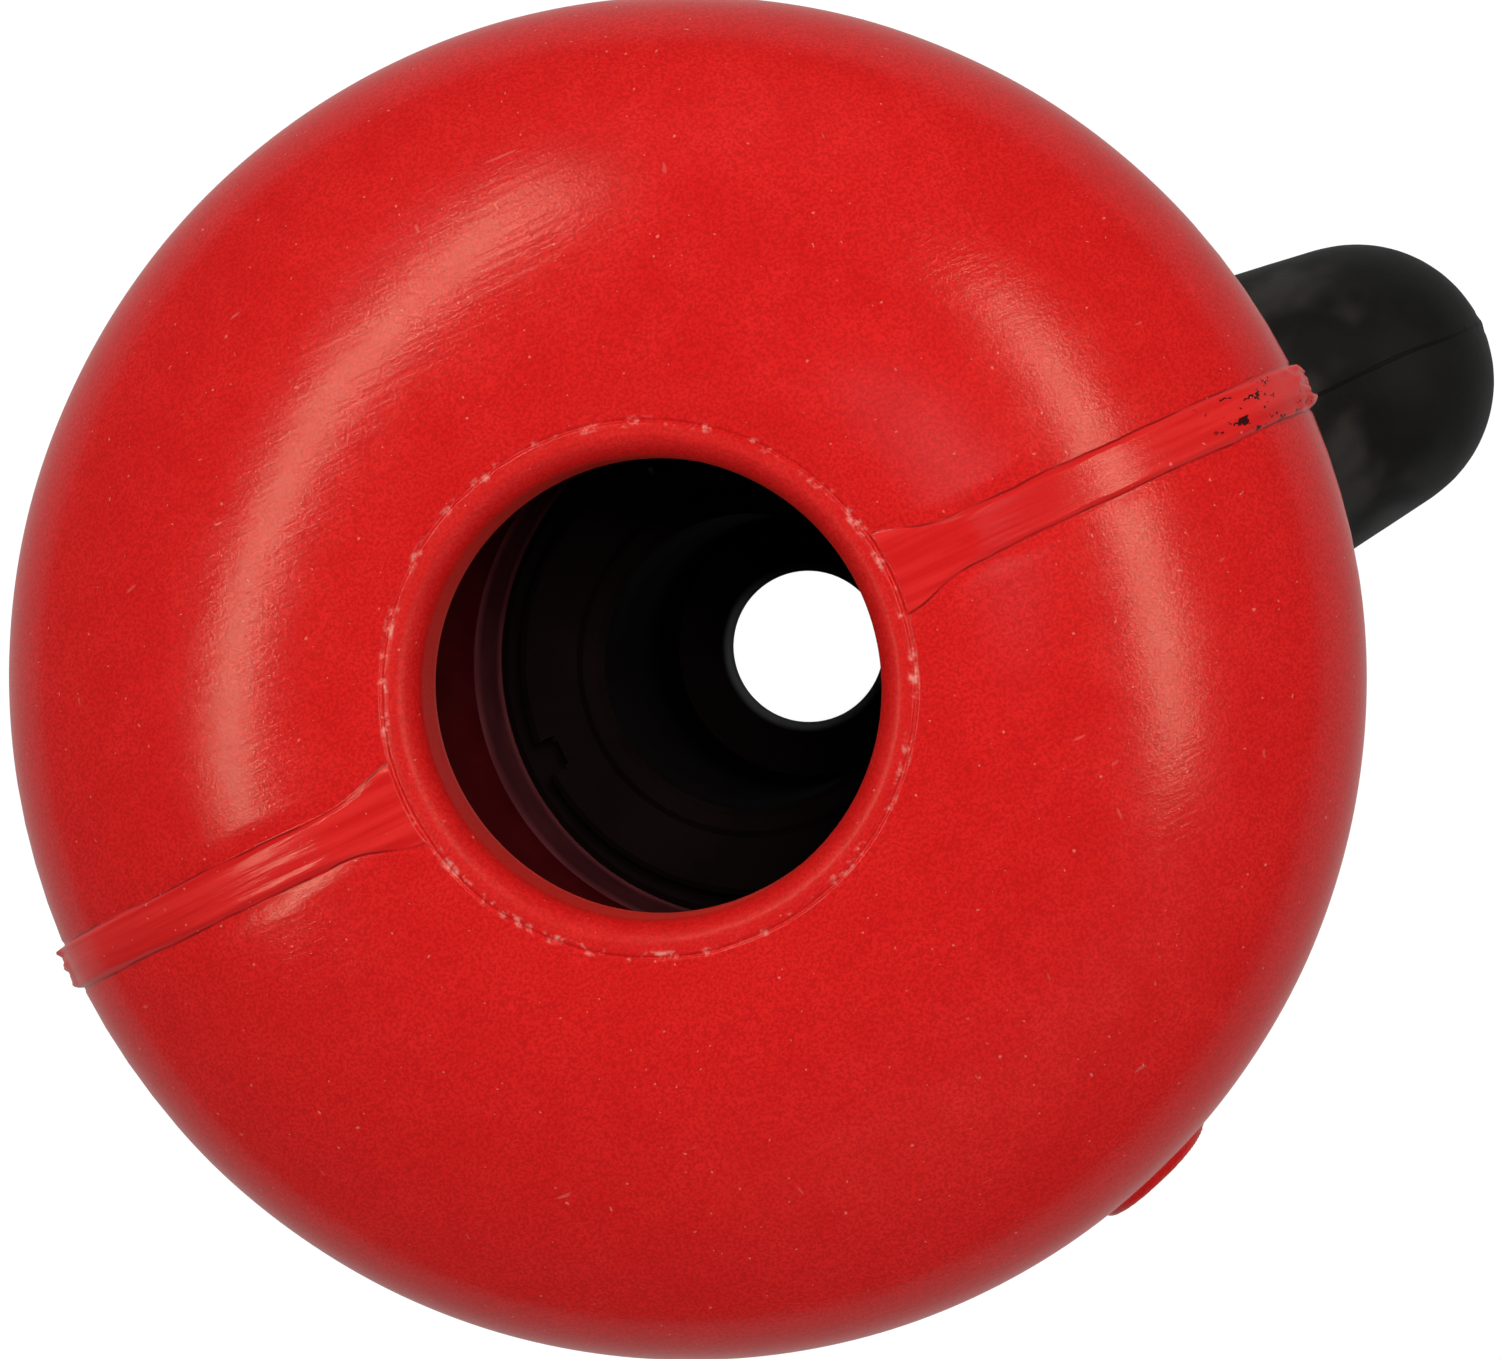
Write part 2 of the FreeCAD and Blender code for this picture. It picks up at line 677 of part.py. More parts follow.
def make_retaining_ring(label, side):
    """Open spring ring that snaps into the core and holds the outer race."""
    foot, thick = ring_foot(side), size("ring_thick")
    disc = primitive("Part::Cylinder", label + "_disc",
                     {"Radius": size("ring_groove"), "Height": thick}, (0, 0, foot))
    hole = primitive("Part::Cylinder", label + "_hole",
                     {"Radius": size("ring_bore"), "Height": thick}, (0, 0, foot))
    gap = primitive("Part::Box", label + "_gap",
                    {"Length": size("ring_gap"), "Width": size("ring_groove") + 1, "Height": thick},
                    (size("ring_gap") * -0.5, 0, foot))
    ring = cut(label, disc, joined(label + "_opening", [hole, gap]))
    ring.Label = label
    return ring


# ---- Assembly -------------------------------------------------------------------------------------

def build_all():
    pieces = [make_axle(), make_inner_spacer(), make_lock_washer(), make_ring_nut(),
              make_core(), make_jacket(), make_outer_spacer()]
    for name, side in (("front", 1), ("rear", -1)):
        pieces += [
            make_cup(f"{name}_cup", side),
            make_neck_flange(f"{name}_neck_flange", side),
            make_clamp_plate(f"{name}_clamp_plate", side),
            make_race(f"{name}_outer_race", side, size("bearing_out"), size("outer_land"), 1),
            make_race(f"{name}_inner_race", side, size("axle_rad"), size("boss_rad"), -1),
            make_balls(f"{name}_bearing_balls", side),
            make_cage(f"{name}_ball_cage", side),
            make_shields(f"{name}_bearing_shields", side),
            make_retaining_ring(f"{name}_retaining_ring", side),
        ]
    return pieces


def check_document():
    for item in doc.Objects:
        if "Invalid" in item.State or "Error" in item.State:
            raise RuntimeError(f"{item.Name} failed: {item.State}")


def write_parts(pieces):
    for piece in pieces:
        if piece.Shape.isNull() or not piece.Shape.isValid():
            raise RuntimeError(f"{piece.Label} has no valid shape")
    os.makedirs("parts", exist_ok=True)
    for piece in pieces:
        piece.Shape.exportStep(f"parts/{piece.Label}.step")
        print(f"{piece.Label:26s} {len(piece.Shape.Solids):3d} solids {piece.Shape.Volume:12.1f} mm3")


all_pieces = build_all()
doc.recompute()
check_document()
write_parts(all_pieces)
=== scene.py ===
import math
import bmesh
import bpy
from mathutils import Matrix, Vector, noise
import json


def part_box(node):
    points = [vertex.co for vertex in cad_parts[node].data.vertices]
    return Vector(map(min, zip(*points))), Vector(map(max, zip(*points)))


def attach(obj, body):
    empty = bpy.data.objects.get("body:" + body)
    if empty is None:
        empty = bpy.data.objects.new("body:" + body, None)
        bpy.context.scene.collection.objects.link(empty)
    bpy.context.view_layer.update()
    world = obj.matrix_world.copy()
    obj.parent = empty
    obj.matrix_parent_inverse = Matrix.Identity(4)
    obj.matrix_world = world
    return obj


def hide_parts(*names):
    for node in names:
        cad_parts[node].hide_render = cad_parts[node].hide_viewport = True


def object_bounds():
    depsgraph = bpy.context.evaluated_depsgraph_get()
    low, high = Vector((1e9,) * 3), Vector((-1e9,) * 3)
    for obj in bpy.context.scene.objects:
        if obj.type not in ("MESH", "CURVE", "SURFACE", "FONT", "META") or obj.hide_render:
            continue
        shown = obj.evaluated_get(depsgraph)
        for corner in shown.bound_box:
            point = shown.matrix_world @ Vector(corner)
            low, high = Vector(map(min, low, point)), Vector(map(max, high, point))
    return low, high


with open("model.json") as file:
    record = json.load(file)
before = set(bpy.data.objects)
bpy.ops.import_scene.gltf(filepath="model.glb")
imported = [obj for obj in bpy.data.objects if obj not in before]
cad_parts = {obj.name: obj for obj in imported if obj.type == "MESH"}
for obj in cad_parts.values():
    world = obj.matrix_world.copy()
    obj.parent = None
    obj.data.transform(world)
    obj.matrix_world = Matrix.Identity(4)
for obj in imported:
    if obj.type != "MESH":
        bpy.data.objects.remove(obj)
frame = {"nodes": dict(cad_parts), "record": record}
cad_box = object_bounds()

# ---- Studio -----------------------------------------------------------------------------------------
# The diabolo stands on a glowing white light table. The camera looks down into the front cup's mouth
# from a quarter of a metre, a little to one side. Two narrow warm soft boxes make the highlights.
mm = 0.001
cup_low, cup_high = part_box("front_cup")
mouth = Vector((0.0, 0.0, cup_high[2]))
camera_distance = 250 * mm
camera_tilt = math.radians(8.8)
camera_bearing = math.radians(-10.4)
arm_rise_in_view = math.radians(25.4)
lens_length = 87.2
sensor_width = 36.0
mouth_in_view = Vector((-0.078, -0.018, -1.0))
frame_shift = (-0.12, -0.037)

to_camera = Vector((
    math.sin(camera_tilt) * math.cos(camera_bearing),
    math.sin(camera_tilt) * math.sin(camera_bearing),
    math.cos(camera_tilt),
))
arm_in_view = (Vector((1, 0, 0)) - to_camera * to_camera.x).normalized()
view_right = arm_in_view.copy()
view_right.rotate(Matrix.Rotation(-arm_rise_in_view, 3, to_camera))
view_up = to_camera.cross(view_right)
looking_at_mouth = Matrix((view_right, view_up, to_camera)).transposed()
off_centre = mouth_in_view.rotation_difference(Vector((0, 0, -1))).to_matrix()

camera_data = bpy.data.cameras.new("camera")
camera_data.lens = lens_length
camera_data.sensor_width = sensor_width
camera_data.sensor_fit = "HORIZONTAL"
camera_data.clip_start = 0.01
camera_data.shift_x, camera_data.shift_y = frame_shift
camera = bpy.data.objects.new("camera", camera_data)
camera.matrix_world = Matrix.Translation(mouth + to_camera * camera_distance) @ (
    looking_at_mouth @ off_centre).to_4x4()
bpy.context.collection.objects.link(camera)
bpy.context.scene.camera = camera
bpy.context.scene.view_settings.view_transform = "Standard"


def soft_box(name, bearing, slant, distance, length, width, power, mirrored):
    """Soft box facing the mouth, at a bearing round the view and a slant away from the line of sight.

    Only a box that is marked as mirrored shows as a highlight; the others just fill the shadows.
    """
    outward = view_right * math.cos(bearing) + view_up * math.sin(bearing)
    away = to_camera * math.cos(slant) + outward * math.sin(slant)
    along = to_camera.cross(outward)
    data = bpy.data.lights.new(name, "AREA")
    data.shape = "RECTANGLE"
    data.size = length
    data.size_y = width
    data.energy = power
    data.color = (1.0, 0.93, 0.68) if mirrored else (1.0, 1.0, 1.0)
    lamp = bpy.data.objects.new(name, data)
    lamp.visible_glossy = mirrored
    facing = Matrix((along, away.cross(along), away)).transposed()
    lamp.matrix_world = Matrix.Translation(mouth + away * distance) @ facing.to_4x4()
    bpy.context.collection.objects.link(lamp)


soft_box("left_soft_box", math.radians(159), math.radians(46.5), 0.6, 0.78, 0.035, 1.45, True)
soft_box("right_soft_box", math.radians(22), math.radians(34), 0.6, 0.56, 0.035, 0.95, True)
soft_box("upper_soft_box", math.radians(110), math.radians(60), 0.8, 0.9, 0.3, 1.6, False)
soft_box("lower_soft_box", math.radians(300), math.radians(50), 0.8, 0.9, 0.3, 0.9, False)
soft_box("front_fill", math.radians(60), math.radians(9), 0.45, 0.12, 0.12, 0.90, False)


def new_material(name):
    material = bpy.data.materials.new(name)
    material.use_nodes = True
    return material, material.node_tree.nodes, material.node_tree.links


floor_mesh = bpy.data.meshes.new("light_table")
table_cast = bmesh.new()
bmesh.ops.create_grid(table_cast, x_segments=1, y_segments=1, size=3.0)
table_cast.to_mesh(floor_mesh)
table_cast.free()
floor = bpy.data.objects.new("light_table", floor_mesh)
floor.location.z = cad_box[0][2]
bpy.context.collection.objects.link(floor)
floor_material, nodes, links = new_material("glowing_table")
nodes["Principled BSDF"].inputs["Base Color"].default_value = (0.06, 0.06, 0.06, 1)
nodes["Principled BSDF"].inputs["Roughness"].default_value = 0.8
nodes["Principled BSDF"].inputs["Specular IOR Level"].default_value = 0.0
nodes["Principled BSDF"].inputs["Emission Color"].default_value = (1, 1, 1, 1)
table_path = nodes.new("ShaderNodeLightPath")
table_glow = nodes.new("ShaderNodeMapRange")
table_glow.inputs["To Min"].default_value = 0.36
table_glow.inputs["To Max"].default_value = 1.0
links.new(table_path.outputs["Is Camera Ray"], table_glow.inputs["Value"])
links.new(table_glow.outputs["Result"], nodes["Principled BSDF"].inputs["Emission Strength"])
floor_mesh.materials.append(floor_material)

world = bpy.data.worlds.new("studio")
world.use_nodes = True
world_nodes, world_links = world.node_tree.nodes, world.node_tree.links
world_nodes["Background"].inputs["Color"].default_value = (1, 1, 1, 1)
path = world_nodes.new("ShaderNodeLightPath")
seen = world_nodes.new("ShaderNodeMapRange")
seen.inputs["To Min"].default_value = 0.12
seen.inputs["To Max"].default_value = 0.95
world_links.new(path.outputs["Is Camera Ray"], seen.inputs["Value"])
world_links.new(seen.outputs["Result"], world_nodes["Background"].inputs["Strength"])
bpy.context.scene.world = world

# ---- Red rubber -------------------------------------------------------------------------------------
# Natural rubber pressed in a two-part mould: satin, with the mould's fine matt grain, small pale specks
# of release powder, short scratches, and buffing marks along the trimmed seam.


class Shader:
    """A material's node tree, with short ways to add the nodes that these finishes need."""

    def __init__(self, name):
        self.material, self.nodes, self.links = new_material(name)
        self.surface = self.nodes["Principled BSDF"]
        self.place = self.nodes.new("ShaderNodeTexCoord").outputs["Object"]

    def join(self, value, socket):
        if isinstance(value, (int, float, tuple)):
            socket.default_value = value
        else:
            self.links.new(value, socket)

    def math(self, operation, *values):
        node = self.nodes.new("ShaderNodeMath")
        node.operation = operation
        for value, socket in zip(values, node.inputs):
            self.join(value, socket)
        return node.outputs[0]

    def product(self, *values):
        result = values[0]
        for value in values[1:]:
            result = self.math("MULTIPLY", result, value)
        return result

    def noise(self, scale, detail=2.0, roughness=0.5, place=None, stretch=None):
        node = self.nodes.new("ShaderNodeTexNoise")
        node.inputs["Scale"].default_value = scale
        node.inputs["Detail"].default_value = detail
        node.inputs["Roughness"].default_value = roughness
        source = place or self.place
        if stretch:
            source = self.mapped(source, stretch)
        self.links.new(source, node.inputs["Vector"])
        return node.outputs["Fac"]

    def mapped(self, source, scale, turn=(0, 0, 0)):
        node = self.nodes.new("ShaderNodeMapping")
        node.inputs["Scale"].default_value = scale
        node.inputs["Rotation"].default_value = turn
        self.links.new(source, node.inputs["Vector"])
        return node.outputs["Vector"]

    def range(self, value, low, high, to_low=0.0, to_high=1.0):
        node = self.nodes.new("ShaderNodeMapRange")
        node.interpolation_type = "SMOOTHSTEP"
        self.join(value, node.inputs["Value"])
        for key, amount in (("From Min", low), ("From Max", high), ("To Min", to_low), ("To Max", to_high)):
            node.inputs[key].default_value = amount
        return node.outputs["Result"]

    def mix(self, share, first, second):
        node = self.nodes.new("ShaderNodeMix")
        node.data_type = "RGBA"
        self.join(share, node.inputs["Factor"])
        self.join(first, node.inputs[6])
        self.join(second, node.inputs[7])
        return node.outputs[2]

    def split(self, source):
        node = self.nodes.new("ShaderNodeSeparateXYZ")
        self.links.new(source, node.inputs[0])
        return node.outputs

    def bump(self, heights):
        """Chain of bumps, each a height pattern with its depth in metres."""
        normal = None
        for height, depth in heights:
            node = self.nodes.new("ShaderNodeBump")
            node.inputs["Distance"].default_value = depth
            node.inputs["Strength"].default_value = 1.0
            self.links.new(height, node.inputs["Height"])
            if normal:
                self.links.new(normal, node.inputs["Normal"])
            normal = node.outputs["Normal"]
        self.links.new(normal, self.surface.inputs["Normal"])

    def finish(self, colour, roughness, metallic=0.0, specular=0.5, sheen=0.0, sheen_tint=(1, 1, 1, 1)):
        self.join(colour, self.surface.inputs["Base Color"])
        self.join(roughness, self.surface.inputs["Roughness"])
        self.surface.inputs["Metallic"].default_value = metallic
        self.surface.inputs["Specular IOR Level"].default_value = specular
        self.surface.inputs["Sheen Weight"].default_value = sheen
        self.surface.inputs["Sheen Tint"].default_value = sheen_tint
        self.surface.inputs["Sheen Roughness"].default_value = 0.4
        return self.material


def red_rubber_material():
    red = Shader("red_rubber")
    x, y, z = red.split(red.place)
    across = red.math("ABSOLUTE", y)
    from_axle = red.math("SQRT", red.math("ADD", red.product(x, x), red.product(y, y)))
    on_face = red.range(from_axle, 18.6 * mm, 18.9 * mm)
    flare = red.math("POWER", red.range(from_axle, 25.0 * mm, 18.5 * mm), 1.5)
    wander = red.range(red.noise(260, 2, 0.5), 0.2, 0.8, -0.1 * mm, 0.1 * mm)
    from_middle = red.math("SUBTRACT", across, red.product(flare, 1.25 * mm))
    from_middle = red.math("ADD", from_middle, wander)
    on_seam = red.product(red.range(from_middle, 1.9 * mm, 1.6 * mm), on_face)
    seam_edge = red.product(red.range(from_middle, 1.66 * mm, 1.75 * mm),
                            red.range(from_middle, 1.90 * mm, 1.81 * mm), on_face)
    near_mouth = red.range(z, cup_high[2] - 1.5 * mm, cup_high[2] - 0.8 * mm)
    on_ring = red.product(red.range(from_axle, 17.9 * mm, 18.2 * mm),
                          red.range(from_axle, 18.9 * mm, 18.55 * mm), near_mouth)
    mottle = red.noise(260, 5, 0.65)
    grain = red.noise(4200, 2, 0.7)
    cloud = red.noise(38, 3, 0.5)
    streaks = red.noise(2400, 2, 0.6, stretch=(0.07, 1.0, 0.5))
    specks = red.range(red.noise(2600, 0, 0.5), 0.843, 0.856)
    scratch = red.range(red.noise(1500, 1, 0.4, stretch=(1.0, 0.05, 1.0)), 0.80, 0.83)
    crossways = red.mapped(red.place, (0.05, 1, 1), (0, 0, 0.9))
    scratch_two = red.range(red.noise(1400, 1, 0.4, place=crossways), 0.80, 0.83)
    marks = red.math("MAXIMUM", specks, red.product(red.math("MAXIMUM", scratch, scratch_two), 0.45))
    scuffs = red.product(on_ring, red.range(red.noise(750, 3, 0.7), 0.52, 0.72))
    pits = red.range(red.noise(1100, 3, 0.7, stretch=(0.2, 1, 1)), 0.60, 0.635)
    tear_pits = red.product(on_seam, red.range(x, 41 * mm, 44 * mm), pits)
    edge_gaps = red.range(red.noise(330, 2, 0.6), 0.35, 0.6, 0.25, 0.9)
    base = red.mix(red.range(cloud, 0.35, 0.65), (0.61, 0.0082, 0.0080, 1), (0.64, 0.0100, 0.0098, 1))
    base = red.mix(red.range(mottle, 0.3, 0.75), base, (0.68, 0.0135, 0.0130, 1))
    buffed = red.noise(900, 3, 0.6, stretch=(0.06, 1.0, 0.06))
    seam_red = red.mix(red.range(buffed, 0.35, 0.7), (0.56, 0.0075, 0.0080, 1), (0.67, 0.020, 0.019, 1))
    base = red.mix(red.range(grain, 0.38, 0.62, 0.0, 0.75), base, (0.45, 0.0045, 0.0050, 1))
    base = red.mix(on_seam, base, seam_red)
    base = red.mix(red.product(seam_edge, edge_gaps), base, (0.22, 0.004, 0.004, 1))
    base = red.mix(tear_pits, base, (0.03, 0.002, 0.002, 1))
    base = red.mix(red.product(scuffs, 0.55), base, (0.85, 0.42, 0.38, 1))
    base = red.mix(red.product(marks, 0.36), base, (0.85, 0.30, 0.27, 1))
    rough = red.range(mottle, 0.2, 0.8, 0.16, 0.22)
    rough = red.math("ADD", rough, red.range(from_axle, 18.6 * mm, 17.6 * mm, 0.0, 0.22))
    red.bump([
        (grain, 0.000016),
        (mottle, 0.00002),
        (streaks, 0.000022),
        (red.product(buffed, on_seam), 0.00012),
    ])
    return red.finish(base, rough, specular=0.38, sheen=0.25, sheen_tint=(1.0, 0.10, 0.07, 1))


def inner_shade_material():
    inner = Shader("inner_rubber_painted_shade")
    # Painted shade: the inside of a cup is the same red rubber painted far darker, for the shade deep in the
    # hollow; the noise only mottles it.
    dust = inner.noise(300, 4, 0.6)
    shade = inner.mix(inner.range(dust, 0.3, 0.8), (0.070, 0.0030, 0.0045, 1), (0.100, 0.0055, 0.0070, 1))
    inner.bump([(inner.noise(900, 3), 0.00003)])
    return inner.finish(shade, inner.range(dust, 0.2, 0.8, 0.5, 0.7), specular=0.25)


def pocket_reflection_material():
    # Painted reflection: the pocket wall is painted a lighter greyish pink, standing for lamp light
    # reflected on the inner wall.
    pocket_wall = Shader("pocket_wall_painted_reflection")
    reflection_mottle = pocket_wall.noise(160, 4, 0.6)
    shade = pocket_wall.mix(pocket_wall.range(reflection_mottle, 0.3, 0.8),
                            (0.20, 0.040, 0.048, 1), (0.30, 0.065, 0.075, 1))
    pocket_wall.bump([(pocket_wall.noise(900, 3), 0.00003)])
    return pocket_wall.finish(shade, pocket_wall.range(reflection_mottle, 0.2, 0.8, 0.45, 0.6), specular=0.3)


red_rubber = red_rubber_material()
painted_inner_shade = inner_shade_material()
painted_pocket_reflection = pocket_reflection_material()

# ---- Cups -------------------------------------------------------------------------------------------
# Two hollow mouldings with turned-in mouths. Each has a rounded lip inside a thin line of flash, and a
# slightly raised seam, trimmed by hand, that widens at the mouth. The front one also has a blank pad.
mouth_height = cup_high[2] / mm
cup_radius = cup_high[1] / mm
widest_height = mouth_height - 18.3
flat_ring = 20.5
flash_ring = 18.5
throat = 16.0
lip_round = 2.15
lip_depth = 6.5
bead_thick = 3.0
shoulder_round = 13.0
face_round = 41.3
back_round = 45.0
neck_round = 14.5
wall = 5.5
neck_radius = 26.6
neck_foot = cup_low[2] / mm
pocket = 22.6
floor_top = neck_foot + 3.1
axle_hole = 15.3
seam_half = 1.75
seam_flare_half = 3.0


def arc(across, up, radius, start, end, steps):
    """Points on an arc of the half section; its angles in degrees run from outward to upward."""
    points = []
    for step in range(steps + 1):
        angle = math.radians(start + (end - start) * step / steps)
        points.append((across + radius * math.cos(angle), up + radius * math.sin(angle)))
    return points


def run(start, end, steps):
    (r0, z0), (r1, z1) = start, end
    return [(r0 + (r1 - r0) * i / steps, z0 + (z1 - z0) * i / steps) for i in range(1, steps + 1)]


def cup_section(fine):
    """Outer skin from the neck to the throat, then the inside; each as (radius, height) points in mm."""
    meet = math.degrees(math.atan2(face_round - (mouth_height - widest_height),
                                   cup_radius - shoulder_round - flat_ring))
    bend = math.degrees(math.acos((cup_radius - back_round - neck_radius - neck_round)
                                  / -(back_round + neck_round)))
    back_centre = cup_radius - back_round
    face_centre = mouth_height - face_round
    neck_centre_height = widest_height - (back_round + neck_round) * math.sin(math.radians(bend))
    neck_centre = neck_radius + neck_round
    skin = [(axle_hole, neck_foot)] + run((axle_hole, neck_foot), (neck_radius - 0.6, neck_foot), 4)
    skin += arc(neck_radius - 0.6, neck_foot + 0.6, 0.6, -90, 0, 4)[1:]
    skin += arc(neck_centre, neck_centre_height, neck_round, 180, 180 - bend, 4 * fine)
    skin += arc(back_centre, widest_height, back_round, -bend, 0, 12 * fine)[1:]
    skin += arc(cup_radius - shoulder_round, widest_height, shoulder_round, 0, meet, 7 * fine)[1:]
    skin += arc(flat_ring, face_centre, face_round, meet, 91, 10 * fine)[1:]
    skin += run(skin[-1], (flash_ring + 0.55, mouth_height - 0.05), 3 * fine)
    skin += run(skin[-1], (flash_ring - 0.35, mouth_height - 0.05), 3 * fine)
    skin += arc(throat + lip_round, mouth_height - lip_round, lip_round, 90, 180, 6 * fine)[1:]
    lip_foot = mouth_height - lip_depth
    skin += run(skin[-1], (throat, lip_foot), 6)
    inside = [(throat + 0.3, lip_foot - 0.45), (throat + 0.8, lip_foot - 0.8)]
    inside += [(throat + bead_thick - 0.3, lip_foot - 0.8), (throat + bead_thick, lip_foot - 0.5)]
    inside += run(inside[-1], (throat + bead_thick, mouth_height - wall), 2)
    inside += run(inside[-1], (flat_ring, mouth_height - wall), 2)
    inside += arc(flat_ring, face_centre, face_round - wall, 90, meet, 5 * fine)[1:]
    inside += arc(cup_radius - shoulder_round, widest_height, shoulder_round - wall, meet, 0, 3 * fine)[1:]
    pocket_turn = math.degrees(math.acos((pocket - back_centre) / (back_round - wall)))
    inside += arc(back_centre, widest_height, back_round - wall, 0, -pocket_turn, 7 * fine)[1:]
    inside += run(inside[-1], (pocket, floor_top), 4)
    inside += run(inside[-1], (axle_hole, floor_top), 3)
    return skin, inside


def smooth(value, low, high):
    share = min(max((value - low) / (high - low), 0.0), 1.0)
    return share * share * (3 - 2 * share)


def seam_width_at(radius):
    """Half the seam's width: even over the cup, and widening like a fish tail towards the mouth."""
    return seam_half + (seam_flare_half - seam_half) * (1 - smooth(radius, flash_ring, 25.0)) ** 1.5


def cup_mesh(fine, columns, with_pad):
    """Closed mesh of a cup: its section spun round the axle, with the moulded detail raised on its skin."""
    skin, inside = cup_section(fine)
    rows = skin + inside
    cast = bmesh.new()
    row_of = cast.verts.layers.int.new("row")
    points = []
    for number, (radius, height) in enumerate(rows):
        point = cast.verts.new((radius, 0, height))
        point[row_of] = number
        points.append(point)
    edges = [cast.edges.new((points[i - 1], points[i])) for i in range(len(points))]
    bmesh.ops.spin(cast, geom=edges, cent=(0, 0, 0), axis=(0, 0, 1), angle=2 * math.pi,
                   steps=columns, use_merge=True)
    bmesh.ops.remove_doubles(cast, verts=cast.verts, dist=0.0005)
    column = 360.0 / columns
    sector = 15
    close_columns = 11
    spacing = 0.19
    last_skin_row = len(skin) - 1
    for vert in cast.verts:
        radius = math.hypot(vert.co.x, vert.co.y)
        angle = math.degrees(math.atan2(vert.co.y, vert.co.x))
        mirrored = abs(angle) > 90
        turn = math.copysign(180 - abs(angle), angle) if mirrored else angle
        number = round(turn / column)
        if abs(number) >= sector:
            continue
        width = seam_width_at(radius) / seam_half
        inner = math.degrees(math.asin(min(close_columns * spacing * width / radius, 0.9)))
        if abs(number) <= close_columns:
            new_turn = math.degrees(math.asin(number * spacing * width / radius))
        else:
            share = (abs(number) - close_columns) / (sector - close_columns)
            new_turn = math.copysign(inner + (sector * column - inner) * share, number)
        new_angle = math.radians(math.copysign(180 - abs(new_turn), new_turn) if mirrored else new_turn)
        if mirrored and number == 0:
            new_angle = math.pi
        vert.co.x, vert.co.y = radius * math.cos(new_angle), radius * math.sin(new_angle)
    bmesh.ops.recalc_face_normals(cast, faces=cast.faces)
    if with_pad:
        refine_pad(cast, row_of, last_skin_row)
    cast.normal_update()
    moves = []
    for vert in cast.verts:
        if vert[row_of] > last_skin_row:
            continue
        moves.append((vert, vert.normal * skin_relief(vert.co, with_pad)))
    for vert, move in moves:
        vert.co += move
        vert.co.z = min(vert.co.z, mouth_height)
    for face in cast.faces:
        face.smooth = True
        numbers = [vert[row_of] for vert in face.verts]
        closes_the_ring = min(numbers) == 0 and max(numbers) > last_skin_row
        # Inside faces take the darker painted-shade rubber.
        face.material_index = 1 if min(numbers) >= last_skin_row or closes_the_ring else 0
        # The pocket wall takes the painted-reflection rubber.
        if all(abs(math.hypot(vert.co.x, vert.co.y) - pocket) < 0.01 for vert in face.verts):
            face.material_index = 2
    return cast


def skin_relief(place, with_pad):
    """Height of the detail on a cup's outer skin at a point, in mm."""
    radius = math.hypot(place.x, place.y)
    relief = 0.035 * noise.noise(place * 0.09)
    width = seam_width_at(radius)
    across = abs(place.y) / width * seam_half
    on_cup = smooth(radius, flash_ring + 0.1, flash_ring + 0.5)
    on_cup *= smooth(place.z, neck_foot + 3, neck_foot + 9)
    wander = 0.06 * noise.noise(Vector((place.x * 0.35, 3.0, place.z * 0.35)))
    top = 1 - smooth(across + wander, 1.45, 1.70)
    line = math.exp(-((across + wander - 1.80) / 0.13) ** 2)
    buffing = 0.05 * noise.noise(Vector((place.x * 0.12, place.y * 3.1, place.z * 0.12)))
    fold = 0.03 * math.exp(-((place.y / width + 0.1) / 0.22) ** 2)
    relief += on_cup * (top * (0.24 + buffing + fold) - 0.13 * line)
    side = math.copysign(1, place.x)
    ragged = smooth(abs(place.x), 45, 49.5) * (1 - smooth(abs(widest_height - place.z), 3.5, 6.0))
    tear = 0.5 + noise.noise(Vector((place.z * 0.8 * side, place.y * 1.5, 7.0)))
    relief += on_cup * top * ragged * 0.55 * tear
    turn = math.atan2(place.y, place.x)
    wobble = 0.10 * noise.noise(Vector((math.cos(turn) * 3, math.sin(turn) * 3, 1.0)))
    from_ring = radius - flash_ring - wobble
    near_mouth = smooth(place.z, mouth_height - 3, mouth_height - 1)
    flash = max(0.0, noise.noise(Vector((math.cos(turn) * 14, math.sin(turn) * 14, 5.0))))
    relief += near_mouth * (-0.17 * math.exp(-(from_ring / 0.13) ** 2))
    relief += near_mouth * 0.16 * flash * math.exp(-((from_ring + 0.22) / 0.12) ** 2)
    relief += near_mouth * 0.10 * math.exp(-((from_ring + 1.1) / 0.7) ** 2)
    if with_pad:
        relief += 0.97 * pad_shape(place)
    return relief


pad_bearing = math.radians(-71.9)
pad_middle = mouth_height - 25.0
pad_half_length = 5.6
pad_half_height = 6.0


def pad_place(place):
    """Position on the blank pad, as shares of its half length round the cup and half height."""
    turn = math.atan2(place.y, place.x) - pad_bearing
    return (turn * math.hypot(place.x, place.y) / pad_half_length, (place.z - pad_middle) / pad_half_height)


def pad_shape(place):
    along, up = pad_place(place)
    reach = (abs(along) ** 2.6 + abs(up) ** 2.6) ** (1 / 2.6)
    return 1 - smooth(reach, 0.88, 1.0)


def refine_pad(cast, row_of, last_skin_row):
    """Cut the faces round the blank pad finer, so that its edge is crisp."""
    near = [face for face in cast.faces
            if max(vert[row_of] for vert in face.verts) <= last_skin_row
            and max(abs(share) for share in pad_place(face.calc_center_median())) < 1.25]
    edges = list({edge for face in near for edge in face.edges})
    bmesh.ops.subdivide_edges(cast, edges=edges, cuts=3, use_grid_fill=True)


def finished_piece(name, cast, materials, body, replaced):
    """Turn a bmesh in millimetres into a piece in metres that rides on its body."""
    bmesh.ops.scale(cast, vec=(mm, mm, mm), verts=cast.verts)
    mesh = bpy.data.meshes.new(name)
    cast.to_mesh(mesh)
    cast.free()
    for material in materials:
        mesh.materials.append(material)
    piece = bpy.data.objects.new(name, mesh)
    bpy.context.collection.objects.link(piece)
    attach(piece, body)
    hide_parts(replaced)


front_cast = cup_mesh(fine=4, columns=330, with_pad=True)
finished_piece("front_cup_moulding", front_cast, [red_rubber, painted_inner_shade, painted_pocket_reflection],
               "cups", "front_cup")

